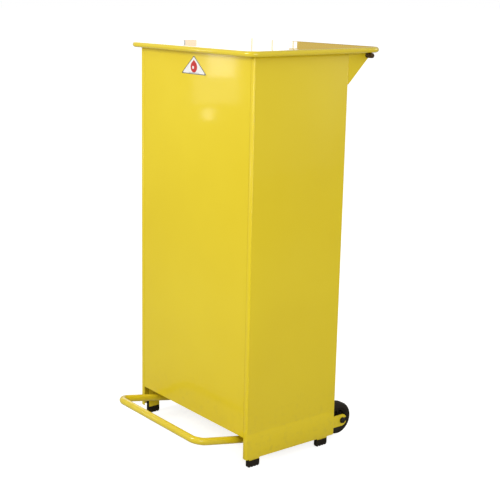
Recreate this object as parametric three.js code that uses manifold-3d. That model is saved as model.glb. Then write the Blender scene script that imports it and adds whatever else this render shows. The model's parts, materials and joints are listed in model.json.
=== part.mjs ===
// Pedal-operated oily waste can: folded sheet-steel body, overhanging flat lid on a rear hinge rod,
// round-bar pedal that lifts the lid through a rod behind the back panel, two rear wheels, four feet.
// Millimetres, +Z up, front (pedal side) towards -Y. Y = 0 of the drawing is the middle of the body.
import * as THREE from 'three';
import { mergeVertices } from 'three/addons/utils/BufferGeometryUtils.js';
import Module from 'manifold-3d';

const wasm = await Module();
wasm.setup();

// ---- driving dimensions ----
const GAP = 0.3; // clearance left between pieces that touch
const SHEET = 1.5; // body and lid sheet thickness
const PLATE = 3; // bracket plate thickness
const SIDES = [-1, 1]; // left and right copies

const BODY_WIDTH = 400;
const BODY_DEPTH = 252;
const SKIRT_Z = 22; // lower edge of the side panels
const BODY_TOP_Z = 871;
const BEND_RADIUS = 3; // outside radius of the folded corners
const CORNER_FLANGE = 11.5; // side panel return on the front and rear faces
const FRONT_BOTTOM_Z = 70; // lower edge of the front panel, above the pedal arms
const FRONT_FOLD = 10; // depth of the fold along the front panel's lower edge
const SEAM = 0.5; // groove between the front panel and the corner flanges
const PANEL_MARGIN = 4; // from a side panel's outside to the edge of a lapped panel
const WHEEL_NOTCH = 12; // width of the notch that clears the wheel in the rear flange
const BASE_Z = 76; // underside of the base tray
const TRAY_WALL = 20; // height of the upturned tray edge
const RAIL_WIDTH = 12; // stiffening rail inside the top edge
const RAIL_LIP = 10;
const RAIL_BEND = 2.5;

const LID_HALF_WIDTH = 218.5;
const LID_FRONT_Y = -148.5;
const LID_REAR_Y = 208;
const LID_BOTTOM_Z = 866.5;
const LID_TOP_Z = 878;
const LID_CORNER_RADIUS = 26;
const LID_LIP = 0.5; // how far the rolled edge returns past its half-round

const HINGE_Y = 177;
const HINGE_Z = 860.8;
const HINGE_ROD_RADIUS = 4;
const HINGE_CAP_RADIUS = 5.4;
const HINGE_CAP_LENGTH = 18;
const HINGE_ROD_OVERHANG = 3; // how far the rod stands out of a gusset, inside its cap
const CAP_BORE_DEPTH = 3.6;
const CAP_DOME = 4;
const NOSE_RADIUS = 14.5; // gusset material around the hinge rod
const NOSE_REACH = 13.8; // from the hinge line to the rearmost point of the gusset
const GUSSET_BOTTOM_Z = 802;
const GUSSET_SLOPE = 0.98; // rise over run of the sloping edge
const GUSSET_FLANGE = 12;
const TURNING_CLEARANCE = 0.4; // between a shaft and the piece that turns on it
const LUG_X = 176;
const LUG_RADIUS = 10;
const BUFFER_X = 150;
const BUFFER_INSET = 10; // from the front face to the middle of a buffer
const BUFFER_RADII = [5, 6]; // at the lower and upper end

const LIFT_ROD_Y = 140;
const LIFT_ROD_X = -8.5;
const LIFT_ROD_RADIUS = 3.5;
const LIFT_ROD_BEND = 4.2;
const LIFT_PIN_REACH = 5.5; // how far the rod's bent ends pass the middle of the can
const CRANK_PLAY = 1.1; // around the upper pin in its slot
const LEVER_PLAY = 0.8; // around the lower pin in its slot
const CLIP_FACE_X = 3.4;
const GUIDE_HEIGHTS = { rod_guide_lower: 260, rod_guide_upper: 690 };
const GUIDE_HALF_WIDTH = 13;
const GUIDE_DROP = 22; // height of a guide's welded leg
const LID_OPENING = 60; // degrees
const PEDAL_PIVOT_Y = -30;
const PEDAL_FRONT_Y = -220;
const PEDAL_FRONT_Z = 71;
const PEDAL_SLOPE = 0.189; // arms rise towards the front at rest
const PEDAL_HALF_WIDTH = 153;
const PEDAL_BAR_RADIUS = 8;
const PEDAL_BEND = 24; // bend radius on the bar's centre line
const PIVOT_RADIUS = 5;
const SLEEVE_RADIUS = 9;
const PIVOT_BRACKET_X = 166;
const PIVOT_BRACKET_HALF = 22; // half the bracket's length along Y
const PIVOT_BRACKET_TAB = 10;
const PIVOT_EYE_RADIUS = 11;
const PIVOT_CLIP_RADIUS = 10;
const LEVER_PIN_Z = 24; // lower pin of the lift rod, lid closed
const LEVER_RADII = [15, 9]; // at the pivot and at the pin

const FOOT_X = 190;
const FOOT_Y = { front: -100, rear: 95 };
const FOOT_LENGTH = 32;
const FOOT_WIDTH = 8;
const FOOT_HEIGHT = 36;
const FOOT_CHAMFER = { width: 1.5, height: 2 };
const LEG_LENGTH = 28;
const LEG_BOTTOM_Z = 17;

const WHEEL_X = 173;
const WHEEL_Y = 154;
const WHEEL_Z = 48;
const WHEEL_RADIUS = 37;
const WHEEL_WIDTH = 24;
const TYRE_SHOULDER = 6;
const RIM_STEP = 3; // how far the rim is narrower than the tyre on each side
const HUB_RADIUS = 22;
const HUB_LENGTH = 33;
const HUB_BOSS = 10;
const HUB_WEB_HALF = 4; // half the thickness of the disc between boss and rim
const AXLE_RADIUS = 4.5;
const AXLE_HEAD = { radius: 7.5, length: 5 };
const AXLE_OVERHANG = 3; // how far the axle stands out of the fork, inside its cap
const AXLE_SLOT_HALF = 5; // half the width of the open slot that the axle sits in
const AXLE_CAP = { radius: 6.8, wall: 2.2, dome: 3.2, bore: 3.4 };
const FORK_HEIGHT = 27;
const FORK_PLATE = 2.2;
const FORK_WEB_PLATE = 2.5;
const FORK_TOP_FLANGE = 9;
const FORK_OUTER_X = 195.7;
const FORK_INNER_X = 152;
const FORK_WEB_Y = 112;

const LABEL_BASE_Z = 819.5;
const LABEL_APEX_Z = 858;
const LABEL_HALF_BASE = 44.5;
const LABEL_THICKNESS = 0.5;

// ---- derived places ----
const HALF_WIDTH = BODY_WIDTH / 2;
const HALF_DEPTH = BODY_DEPTH / 2;
const INNER_X = HALF_WIDTH - SHEET;
const PEDAL_PIVOT_Z = PEDAL_FRONT_Z - PEDAL_SLOPE * (PEDAL_PIVOT_Y - PEDAL_FRONT_Y);
const CRANK_REACH = HINGE_Y - LIFT_ROD_Y;
const CRANK_HALF_ANGLE = THREE.MathUtils.degToRad(LID_OPENING / 2);
const CRANK_PIN_Z = HINGE_Z - CRANK_REACH * Math.tan(CRANK_HALF_ANGLE);
const LID_CEILING_Z = LID_TOP_Z - SHEET;
const HANG_Z = BASE_Z - GAP; // top of whatever hangs from the base tray
const PEDAL_OVERHANG = -PEDAL_FRONT_Y + PEDAL_BAR_RADIUS;

// ---- materials ----
const paint = (name) => ({ name, color: 0xe3c53c, roughness: 0.32, metalness: 0.0 });
const steel = (name) => ({ name, color: 0xa9adb0, roughness: 0.38, metalness: 0.9 });
const rubber = (name) => ({ name, color: 0x23211f, roughness: 0.75, metalness: 0.0 });
const plastic = (name) => ({ name, color: 0x1c1b1a, roughness: 0.45, metalness: 0.0 });
const printed = (name) => ({ name, color: 0xf4f3ee, roughness: 0.4, metalness: 0.0 });

const can = new THREE.Group();
can.position.y = (PEDAL_OVERHANG - LID_REAR_Y) / 2; // centres the outside box on the origin

function addPart(finish, geometry) {
  const { name, ...look } = finish;
  const mesh = new THREE.Mesh(geometry, new THREE.MeshStandardMaterial(look));
  mesh.name = name;
  can.add(mesh);
}

function sideName(base, side) {
  return `${base}_${side < 0 ? 'left' : 'right'}`;
}

// ---- solids ----
function toSolid(geometry) {
  const bare = geometry.clone();
  bare.deleteAttribute('normal');
  bare.deleteAttribute('uv');
  const merged = mergeVertices(bare, 1e-4);
  const vertProperties = new Float32Array(merged.attributes.position.array);
  const triVerts = new Uint32Array(merged.index.array);
  return new wasm.Manifold(new wasm.Mesh({ numProp: 3, vertProperties, triVerts }));
}

function toGeometry(solid) {
  const mesh = solid.getMesh();
  const geometry = new THREE.BufferGeometry();
  geometry.setAttribute('position', new THREE.BufferAttribute(mesh.vertProperties, 3));
  geometry.setIndex(new THREE.BufferAttribute(mesh.triVerts, 1));
  geometry.computeVertexNormals();
  return geometry;
}

function joined(...pieces) {
  return toGeometry(pieces.map(toSolid).reduce((whole, piece) => whole.add(piece)));
}

function cut(blank, ...tools) {
  return toGeometry(tools.map(toSolid).reduce((whole, tool) => whole.subtract(tool), toSolid(blank)));
}

function block([x0, x1], [y0, y1], [z0, z1]) {
  const geometry = new THREE.BoxGeometry(x1 - x0, y1 - y0, z1 - z0);
  return geometry.translate((x0 + x1) / 2, (y0 + y1) / 2, (z0 + z1) / 2);
}

// A shape drawn in X and Y, raised from z0 to z1.
function raised(shape, z0, z1) {
  return new THREE.ExtrudeGeometry(shape, { depth: z1 - z0, bevelEnabled: false }).translate(0, 0, z0);
}

// A shape drawn in Y and Z, spanning x0 to x1.
function spanning(shape, x0, x1) {
  const geometry = new THREE.ExtrudeGeometry(shape, { depth: x1 - x0, bevelEnabled: false });
  const turn = new THREE.Matrix4().makeBasis(
    new THREE.Vector3(0, 1, 0),
    new THREE.Vector3(0, 0, 1),
    new THREE.Vector3(1, 0, 0),
  );
  return geometry.applyMatrix4(turn).translate(x0, 0, 0);
}

// A shape drawn in X and Z, running from y0 to y1.
function running(shape, y0, y1) {
  const geometry = new THREE.ExtrudeGeometry(shape, { depth: y1 - y0, bevelEnabled: false });
  return geometry.rotateX(Math.PI / 2).translate(0, y1, 0);
}

// A cylinder along X, centred on (y, z).
function shaft(radius, [x0, x1], y, z, sides = 20) {
  const geometry = new THREE.CylinderGeometry(radius, radius, x1 - x0, sides);
  return geometry.rotateZ(Math.PI / 2).translate((x0 + x1) / 2, y, z);
}

// A profile of [radius, distance along +X] points turned about the X line through (y, z).
function turned(profile, x, y, z, sides) {
  const points = profile.map(([radius, along]) => new THREE.Vector2(radius, along));
  const geometry = new THREE.LatheGeometry(points, sides);
  return geometry.rotateZ(-Math.PI / 2).translate(x, y, z);
}

function mirroredX(geometry) {
  const mirror = geometry.index ? geometry.clone() : mergeVertices(geometry.clone());
  mirror.applyMatrix4(new THREE.Matrix4().makeScale(-1, 1, 1));
  const order = mirror.index.array;
  for (let i = 0; i < order.length; i += 3) {
    [order[i + 1], order[i + 2]] = [order[i + 2], order[i + 1]];
  }
  return mirror;
}

function onSide(side, rightHandGeometry) {
  return side > 0 ? rightHandGeometry : mirroredX(rightHandGeometry);
}

function polygon(corners) {
  return new THREE.Shape(corners.map(([u, v]) => new THREE.Vector2(u, v)));
}

function arcPoints([cu, cv], radius, from, to, steps) {
  return Array.from({ length: steps + 1 }, (_, i) => {
    const angle = from + ((to - from) * i) / steps;
    return [cu + radius * Math.cos(angle), cv + radius * Math.sin(angle)];
  });
}

// Section of a sheet strip that follows the outside corners given, every bend turning left.
function foldedStrip(corners, thickness = SHEET, radius = BEND_RADIUS, steps = 3) {
  const outside = corners.map(([u, v]) => new THREE.Vector2(u, v));
  const leftOf = (a, b) => {
    const along = b.clone().sub(a).normalize();
    return new THREE.Vector2(-along.y, along.x);
  };
  const last = outside.length - 1;
  const startLeft = leftOf(outside[0], outside[1]);
  const endLeft = leftOf(outside[last - 1], outside[last]);
  const outer = [outside[0]];
  const inner = [outside[0].clone().addScaledVector(startLeft, thickness)];
  for (let i = 1; i < last; i += 1) {
    const before = leftOf(outside[i - 1], outside[i]);
    const after = leftOf(outside[i], outside[i + 1]);
    const centre = outside[i].clone().addScaledVector(before.clone().add(after), radius);
    const from = Math.atan2(-before.y, -before.x);
    for (const [u, v] of arcPoints([centre.x, centre.y], radius, from, from + Math.PI / 2, steps)) {
      outer.push(new THREE.Vector2(u, v));
    }
    const innerRadius = radius - thickness;
    for (const [u, v] of arcPoints([centre.x, centre.y], innerRadius, from, from + Math.PI / 2, steps)) {
      inner.push(new THREE.Vector2(u, v));
    }
  }
  outer.push(outside[last]);
  inner.push(outside[last].clone().addScaledVector(endLeft, thickness));
  return new THREE.Shape([...outer, ...inner.reverse()]);
}

function roundedRectangle(halfWidth, [y0, y1], radius, steps = 6) {
  const quarter = Math.PI / 2;
  return polygon([
    ...arcPoints([halfWidth - radius, y1 - radius], radius, 0, quarter, steps),
    ...arcPoints([-halfWidth + radius, y1 - radius], radius, quarter, 2 * quarter, steps),
    ...arcPoints([-halfWidth + radius, y0 + radius], radius, 2 * quarter, 3 * quarter, steps),
    ...arcPoints([halfWidth - radius, y0 + radius], radius, 3 * quarter, 4 * quarter, steps),
  ]);
}

// A curve that visits listed stations in equal steps, so straight runs need no extra sections.
class StationPath extends THREE.Curve {
  constructor(stations) {
    super();
    this.stations = stations;
  }

  getPoint(t, target = new THREE.Vector3()) {
    return target.copy(this.stations[Math.round(t * (this.stations.length - 1))]);
  }

  getPointAt(u, target) {
    return this.getPoint(u, target);
  }

  getTangentAt(u, target = new THREE.Vector3()) {
    const last = this.stations.length - 1;
    const here = Math.round(u * last);
    const ahead = this.stations[Math.min(here + 1, last)];
    const behind = this.stations[Math.max(here - 1, 0)];
    const arriving = this.stations[here].clone().sub(behind).normalize();
    const leaving = ahead.clone().sub(this.stations[here]).normalize();
    return target.copy(arriving.add(leaving)).normalize();
  }
}

// Round bar bent at each inner point of its route.
function bentBar(route, radius, bendRadius, sides = 12, bendSteps = 6) {
  const stations = [route[0]];
  for (let i = 1; i < route.length - 1; i += 1) {
    const back = route[i - 1].clone().sub(route[i]).normalize();
    const on = route[i + 1].clone().sub(route[i]).normalize();
    const half = back.angleTo(on) / 2;
    const inward = back.clone().add(on).normalize();
    const centre = route[i].clone().addScaledVector(inward, bendRadius / Math.sin(half));
    const start = route[i].clone().addScaledVector(back, bendRadius / Math.tan(half)).sub(centre);
    const axis = on.clone().cross(back).normalize().negate();
    const sweep = Math.PI - 2 * half;
    for (let step = 0; step <= bendSteps; step += 1) {
      stations.push(start.clone().applyAxisAngle(axis, (-sweep * step) / bendSteps).add(centre));
    }
  }
  stations.push(route[route.length - 1]);
  const section = polygon(arcPoints([0, 0], radius, 0, 2 * Math.PI, sides).slice(0, sides));
  const extrudePath = new StationPath(stations);
  return new THREE.ExtrudeGeometry(section, { steps: stations.length - 1, extrudePath });
}

// Plate outline that wraps two circles, in Y and Z.
function linkOutline([y0, z0], r0, [y1, z1], r1, steps = 8) {
  const heading = Math.atan2(z1 - z0, y1 - y0);
  const span = Math.hypot(y1 - y0, z1 - z0);
  const lean = Math.acos((r0 - r1) / span);
  return [
    ...arcPoints([y0, z0], r0, heading + lean, heading + 2 * Math.PI - lean, steps),
    ...arcPoints([y1, z1], r1, heading - lean, heading + lean, steps),
  ];
}

// ---- body ----
function buildBody() {
  const section = foldedStrip([
    [HALF_WIDTH - CORNER_FLANGE, -HALF_DEPTH],
    [HALF_WIDTH, -HALF_DEPTH],
    [HALF_WIDTH, HALF_DEPTH],
    [HALF_WIDTH - CORNER_FLANGE, HALF_DEPTH],
  ]);
  const notchX = HALF_WIDTH - BEND_RADIUS;
  const lapZ = BASE_Z + SHEET;
  const wheelNotch = block(
    [notchX - WHEEL_NOTCH, notchX],
    [HALF_DEPTH - 2 * SHEET, HALF_DEPTH + SHEET],
    [0, lapZ],
  );
  for (const side of SIDES) {
    const panel = cut(raised(section, SKIRT_Z, BODY_TOP_Z), wheelNotch);
    addPart(paint(sideName('side_panel', side)), onSide(side, panel));
  }

  const lapX = HALF_WIDTH - PANEL_MARGIN;
  const frontX = HALF_WIDTH - CORNER_FLANGE - SEAM;
  const frontLapY = [-HALF_DEPTH + SHEET + GAP, -HALF_DEPTH + 2 * SHEET + GAP];
  const faceY = [-HALF_DEPTH, frontLapY[0] + SHEET / 2];
  const foldY = [-HALF_DEPTH, -HALF_DEPTH + FRONT_FOLD];
  const foldX = frontX - BEND_RADIUS;
  const front = joined(
    block([-frontX, frontX], faceY, [FRONT_BOTTOM_Z, BODY_TOP_Z]),
    block([-lapX, lapX], frontLapY, [BASE_Z, BODY_TOP_Z]),
    block([-foldX, foldX], foldY, [FRONT_BOTTOM_Z, FRONT_BOTTOM_Z + SHEET]),
  );
  addPart(paint('front_panel'), front);

  const backY = [HALF_DEPTH - 2 * SHEET - GAP, HALF_DEPTH - SHEET - GAP];
  addPart(paint('back_panel'), block([-lapX, lapX], backY, [lapZ, BODY_TOP_Z]));

  const trayX = INNER_X - GAP;
  const trayY = backY[0] - GAP;
  const pan = block([-trayX, trayX], [-trayY, trayY], [BASE_Z, BASE_Z + TRAY_WALL]);
  const well = block(
    [SHEET - trayX, trayX - SHEET],
    [SHEET - trayY, trayY - SHEET],
    [BASE_Z + SHEET, BASE_Z + TRAY_WALL + SHEET],
  );
  addPart(paint('base_tray'), cut(pan, well));

  // Rails: a top flange with a lip turned down along its inner edge.
  const railSection = (wall) => foldedStrip([
    [wall, BODY_TOP_Z],
    [wall - RAIL_WIDTH, BODY_TOP_Z],
    [wall - RAIL_WIDTH, BODY_TOP_Z - RAIL_LIP],
  ], SHEET, RAIL_BEND, 2);
  const railEnd = trayY - RAIL_WIDTH - GAP;
  for (const side of SIDES) {
    const rail = running(railSection(trayX), -railEnd, railEnd);
    addPart(paint(sideName('top_rail', side)), onSide(side, rail));
  }
  const crossRail = spanning(railSection(trayY), -lapX, lapX);
  addPart(paint('top_rail_rear'), crossRail);
  addPart(paint('top_rail_front'), crossRail.clone().rotateZ(Math.PI));
}

// ---- hinge: two gussets, a rod with end caps ----
function buildHinge() {
  const rootY = HALF_DEPTH + GAP;
  const edgeZ = (y) => GUSSET_BOTTOM_Z + GUSSET_SLOPE * (y - rootY);
  const topZ = BODY_TOP_Z - 1;
  const noseTopY = HINGE_Y + Math.sqrt(NOSE_RADIUS ** 2 - (topZ - HINGE_Z) ** 2);
  const tipY = HINGE_Y + NOSE_REACH;
  const web = polygon([[rootY, edgeZ(rootY)], [tipY, edgeZ(tipY)], [noseTopY, topZ], [rootY, topZ]]);
  const holeSteps = 20;
  const hole = arcPoints([HINGE_Y, HINGE_Z], HINGE_ROD_RADIUS + TURNING_CLEARANCE, 0, 2 * Math.PI, holeSteps);
  web.holes.push(new THREE.Path(hole.slice(0, holeSteps).map(([y, z]) => new THREE.Vector2(y, z))));
  const foldRise = SHEET * Math.hypot(1, GUSSET_SLOPE);
  const foldEndY = tipY - 1;
  const fold = polygon([
    [rootY, edgeZ(rootY)],
    [foldEndY, edgeZ(foldEndY)],
    [foldEndY, edgeZ(foldEndY) + foldRise],
    [rootY, edgeZ(rootY) + foldRise],
  ]);
  const gusset = joined(
    spanning(web, INNER_X, HALF_WIDTH),
    spanning(fold, HALF_WIDTH - GUSSET_FLANGE, HALF_WIDTH),
    block([HALF_WIDTH - CORNER_FLANGE, HALF_WIDTH], [rootY, rootY + SHEET], [edgeZ(rootY) + 1, topZ]),
  );
  for (const side of SIDES) {
    addPart(paint(sideName('gusset', side)), onSide(side, gusset));
  }

  const rodHalf = HALF_WIDTH + HINGE_ROD_OVERHANG;
  addPart(steel('hinge_rod'), shaft(HINGE_ROD_RADIUS, [-rodHalf, rodHalf], HINGE_Y, HINGE_Z));

  const boreRadius = HINGE_ROD_RADIUS + GAP;
  const domeCentre = [HINGE_CAP_RADIUS - CAP_DOME, HINGE_CAP_LENGTH - CAP_DOME];
  const cap = turned([
    [0, CAP_BORE_DEPTH],
    [boreRadius, CAP_BORE_DEPTH],
    [boreRadius, 0],
    [HINGE_CAP_RADIUS, 0],
    ...arcPoints(domeCentre, CAP_DOME, 0, Math.PI / 2, 4),
    [0, HINGE_CAP_LENGTH],
  ], HALF_WIDTH + GAP, HINGE_Y, HINGE_Z, 20);
  for (const side of SIDES) {
    addPart(plastic(sideName('hinge_cap', side)), onSide(side, cap));
  }
}

// ---- lid: pan with a half-round rolled edge, hinge lugs, crank and buffers ----
function rolledPan(inset, z0, z1) {
  const roll = (z1 - z0) / 2 - 0.05;
  const edge = inset + roll;
  const outline = roundedRectangle(
    LID_HALF_WIDTH - edge,
    [LID_FRONT_Y + edge, LID_REAR_Y - edge],
    LID_CORNER_RADIUS - edge,
  );
  return new THREE.ExtrudeGeometry(outline, {
    depth: z1 - z0 - 2 * roll,
    bevelThickness: roll,
    bevelSize: roll,
    bevelSegments: 4,
  }).translate(0, 0, z0 + roll);
}

function buildLid() {
  const roll = (LID_TOP_Z - LID_BOTTOM_Z) / 2;
  const mouthInset = roll + LID_LIP;
  const mouth = roundedRectangle(
    LID_HALF_WIDTH - mouthInset,
    [LID_FRONT_Y + mouthInset, LID_REAR_Y - mouthInset],
    LID_CORNER_RADIUS - mouthInset,
  );
  const shell = cut(
    rolledPan(0, LID_BOTTOM_Z, LID_TOP_Z),
    rolledPan(SHEET, LID_BOTTOM_Z + SHEET, LID_CEILING_Z),
    raised(mouth, LID_BOTTOM_Z - 1, LID_BOTTOM_Z + SHEET + 2),
  );
  addPart(paint('lid_shell'), shell);

  const footZ = LID_CEILING_Z - GAP;
  const rodHole = HINGE_ROD_RADIUS + TURNING_CLEARANCE;
  const lugOutline = polygon([
    [HINGE_Y + LUG_RADIUS + 5, footZ],
    [HINGE_Y - LUG_RADIUS - 8, footZ],
    ...arcPoints([HINGE_Y, HINGE_Z], LUG_RADIUS, Math.PI, 2 * Math.PI, 8),
  ]);
  const lug = cut(
    spanning(lugOutline, LUG_X, LUG_X + PLATE),
    shaft(rodHole, [LUG_X - 1, LUG_X + PLATE + 1], HINGE_Y, HINGE_Z),
  );
  for (const side of SIDES) {
    addPart(paint(sideName('lid_lug', side)), onSide(side, lug));
  }

  // The crank's slot lies on a line from the hinge that slopes down to the closed position of the pin.
  const slotPoint = (radius) => [
    HINGE_Y - radius * Math.cos(CRANK_HALF_ANGLE),
    HINGE_Z - radius * Math.sin(CRANK_HALF_ANGLE),
  ];
  const endPlay = 0.6;
  const nearRadius = CRANK_REACH - endPlay;
  const farRadius = CRANK_REACH / Math.cos(CRANK_HALF_ANGLE) + endPlay;
  const slotHalf = LIFT_ROD_RADIUS + CRANK_PLAY;
  const [tipY, tipZ] = slotPoint(farRadius - 1);
  const crankOutline = polygon([
    [HINGE_Y - 12, footZ],
    [HINGE_Y - 46, footZ],
    ...arcPoints([tipY, tipZ], slotHalf + 2.6, Math.PI, 1.75 * Math.PI, 6),
  ]);
  const slot = polygon(linkOutline(slotPoint(nearRadius), slotHalf, slotPoint(farRadius), slotHalf));
  const crank = cut(spanning(crankOutline, -PLATE / 2, PLATE / 2), spanning(slot, -PLATE, PLATE));
  addPart(paint('lid_crank'), crank);

  const bufferZ = [BODY_TOP_Z + GAP, footZ];
  for (const side of SIDES) {
    const [lowerRadius, upperRadius] = BUFFER_RADII;
    const buffer = new THREE.CylinderGeometry(upperRadius, lowerRadius, bufferZ[1] - bufferZ[0], 16);
    buffer.rotateX(Math.PI / 2);
    buffer.translate(side * BUFFER_X, -HALF_DEPTH + BUFFER_INSET, (bufferZ[0] + bufferZ[1]) / 2);
    addPart(rubber(sideName('lid_buffer', side)), buffer);
  }
}

// ---- linkage: lift rod, its guides, pedal, pivot ----
// Flat ring about an X line, such as a push-on clip.
function ring(innerRadius, outerRadius, thickness, x, y, z) {
  const corners = [[innerRadius, 0], [outerRadius, 0], [outerRadius, thickness], [innerRadius, thickness]];
  return turned([...corners, corners[0]], x, y, z, 20);
}

function buildLiftRod() {
  const at = (x, z) => new THREE.Vector3(x, LIFT_ROD_Y, z);
  const rod = bentBar([
    at(LIFT_PIN_REACH, LEVER_PIN_Z),
    at(LIFT_ROD_X, LEVER_PIN_Z),
    at(LIFT_ROD_X, CRANK_PIN_Z),
    at(LIFT_PIN_REACH, CRANK_PIN_Z),
  ], LIFT_ROD_RADIUS, LIFT_ROD_BEND, 10, 4);
  addPart(steel('lift_rod'), rod);

  const clip = (z) => ring(LIFT_ROD_RADIUS + GAP, 2 * LIFT_ROD_RADIUS, 1, CLIP_FACE_X, LIFT_ROD_Y, z);
  addPart(steel('rod_clip_upper'), clip(CRANK_PIN_Z));
  addPart(steel('rod_clip_lower'), clip(LEVER_PIN_Z));

  const wallY = HALF_DEPTH - SHEET;
  const shelfY = LIFT_ROD_Y + 3 * LIFT_ROD_RADIUS;
  for (const [name, z] of Object.entries(GUIDE_HEIGHTS)) {
    const angle = foldedStrip([[shelfY, z], [wallY, z], [wallY, z - GUIDE_DROP]]);
    const bore = new THREE.CylinderGeometry(LIFT_ROD_RADIUS + 2 * GAP, LIFT_ROD_RADIUS + 2 * GAP, 20, 16);
    bore.rotateX(Math.PI / 2).translate(LIFT_ROD_X, LIFT_ROD_Y, z);
    const shelf = spanning(angle, LIFT_ROD_X - GUIDE_HALF_WIDTH, LIFT_ROD_X + GUIDE_HALF_WIDTH);
    addPart(paint(name), cut(shelf, bore));
  }
}

function buildPedal() {
  const pivot = [PEDAL_PIVOT_Y, PEDAL_PIVOT_Z];
  const at = (x, y, z) => new THREE.Vector3(x, y, z);
  const bar = bentBar([
    at(PEDAL_HALF_WIDTH, ...pivot),
    at(PEDAL_HALF_WIDTH, PEDAL_FRONT_Y, PEDAL_FRONT_Z),
    at(-PEDAL_HALF_WIDTH, PEDAL_FRONT_Y, PEDAL_FRONT_Z),
    at(-PEDAL_HALF_WIDTH, ...pivot),
  ], PEDAL_BAR_RADIUS, PEDAL_BEND, 16);
  const sleeveHalf = PEDAL_HALF_WIDTH + PEDAL_BAR_RADIUS + 1;
  const pivotHole = PIVOT_RADIUS + TURNING_CLEARANCE;
  const sleeve = shaft(SLEEVE_RADIUS, [-sleeveHalf, sleeveHalf], ...pivot, 24);
  const bore = shaft(pivotHole, [-HALF_WIDTH, HALF_WIDTH], ...pivot);
  addPart(paint('pedal_bar'), cut(joined(bar, sleeve), bore));

  const reach = LIFT_ROD_Y - PEDAL_PIVOT_Y;
  const leverAngle = Math.atan2(LEVER_PIN_Z - PEDAL_PIVOT_Z, reach);
  const leverPoint = (radius) => [
    PEDAL_PIVOT_Y + radius * Math.cos(leverAngle),
    PEDAL_PIVOT_Z + radius * Math.sin(leverAngle),
  ];
  const slotEnds = [leverPoint(reach - LEVER_PLAY), leverPoint(reach + 4.5 * LEVER_PLAY)];
  const slotHalf = LIFT_ROD_RADIUS + LEVER_PLAY;
  const [pivotEnd, pinEnd] = LEVER_RADII;
  const outline = polygon(linkOutline(pivot, pivotEnd, leverPoint(reach + 1.5), pinEnd));
  const slot = polygon(linkOutline(slotEnds[0], slotHalf, slotEnds[1], slotHalf));
  addPart(paint('pedal_lever'), cut(
    spanning(outline, -PLATE / 2, PLATE / 2),
    shaft(SLEEVE_RADIUS + GAP, [-PLATE, PLATE], ...pivot, 24),
    spanning(slot, -PLATE, PLATE),
  ));

  const rodHalf = PIVOT_BRACKET_X + PLATE + 5;
  addPart(steel('pivot_rod'), shaft(PIVOT_RADIUS, [-rodHalf, rodHalf], ...pivot));
  const bracketY = [PEDAL_PIVOT_Y - PIVOT_BRACKET_HALF, PEDAL_PIVOT_Y + PIVOT_BRACKET_HALF];
  const cheek = polygon([
    [bracketY[1], HANG_Z],
    [bracketY[0], HANG_Z],
    ...arcPoints(pivot, PIVOT_EYE_RADIUS, Math.PI, 2 * Math.PI, 8),
  ]);
  const tabX = [PIVOT_BRACKET_X - PIVOT_BRACKET_TAB, PIVOT_BRACKET_X + 1];
  const bracket = cut(
    joined(
      spanning(cheek, PIVOT_BRACKET_X, PIVOT_BRACKET_X + PLATE),
      block(tabX, bracketY, [HANG_Z - PLATE, HANG_Z]),
    ),
    shaft(pivotHole, [PIVOT_BRACKET_X - 1, PIVOT_BRACKET_X + PLATE + 1], ...pivot),
  );
  const clipX = PIVOT_BRACKET_X + PLATE + GAP;
  const clip = ring(PIVOT_RADIUS + GAP, PIVOT_CLIP_RADIUS, 1.2, clipX, ...pivot);
  for (const side of SIDES) {
    addPart(paint(sideName('pivot_bracket', side)), onSide(side, bracket));
    addPart(steel(sideName('pivot_clip', side)), onSide(side, clip));
  }
}

// ---- legs and feet ----
function buildFeet() {
  const halfFoot = FOOT_WIDTH / 2;
  const halfLeg = LEG_LENGTH / 2;
  const insideX = [FOOT_X - halfFoot - GAP, FOOT_X + halfFoot + GAP];
  const outsideX = [insideX[0] - SHEET, insideX[1] + SHEET];
  const { width: chamferX, height: chamferZ } = FOOT_CHAMFER;
  const tread = polygon([
    [FOOT_X - halfFoot, FOOT_HEIGHT],
    [FOOT_X - halfFoot, chamferZ],
    [FOOT_X - halfFoot + chamferX, 0],
    [FOOT_X + halfFoot - chamferX, 0],
    [FOOT_X + halfFoot, chamferZ],
    [FOOT_X + halfFoot, FOOT_HEIGHT],
  ]);
  for (const side of SIDES) {
    for (const [end, y] of Object.entries(FOOT_Y)) {
      const channel = cut(
        block(outsideX, [y - halfLeg, y + halfLeg], [LEG_BOTTOM_Z, HANG_Z]),
        block(insideX, [y - LEG_LENGTH, y + LEG_LENGTH], [0, HANG_Z - SHEET]),
      );
      addPart(paint(`${sideName('leg', side)}_${end}`), onSide(side, channel));
      const pad = running(tread, y - FOOT_LENGTH / 2, y + FOOT_LENGTH / 2);
      addPart(rubber(`${sideName('foot', side)}_${end}`), onSide(side, pad));
    }
  }
}

// ---- wheels ----
function buildTyre() {
  const half = WHEEL_WIDTH / 2;
  const seat = HUB_RADIUS + GAP;
  const shoulderAt = WHEEL_RADIUS - TYRE_SHOULDER;
  return turned([
    [seat, -half + RIM_STEP],
    [shoulderAt - 1, -half],
    ...arcPoints([shoulderAt, -half + TYRE_SHOULDER], TYRE_SHOULDER, -Math.PI / 2, 0, 3),
    ...arcPoints([shoulderAt, half - TYRE_SHOULDER], TYRE_SHOULDER, 0, Math.PI / 2, 3),
    [shoulderAt - 1, half],
    [seat, half - RIM_STEP],
    [seat, -half + RIM_STEP],
  ], WHEEL_X, WHEEL_Y, WHEEL_Z, 36);
}

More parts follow.
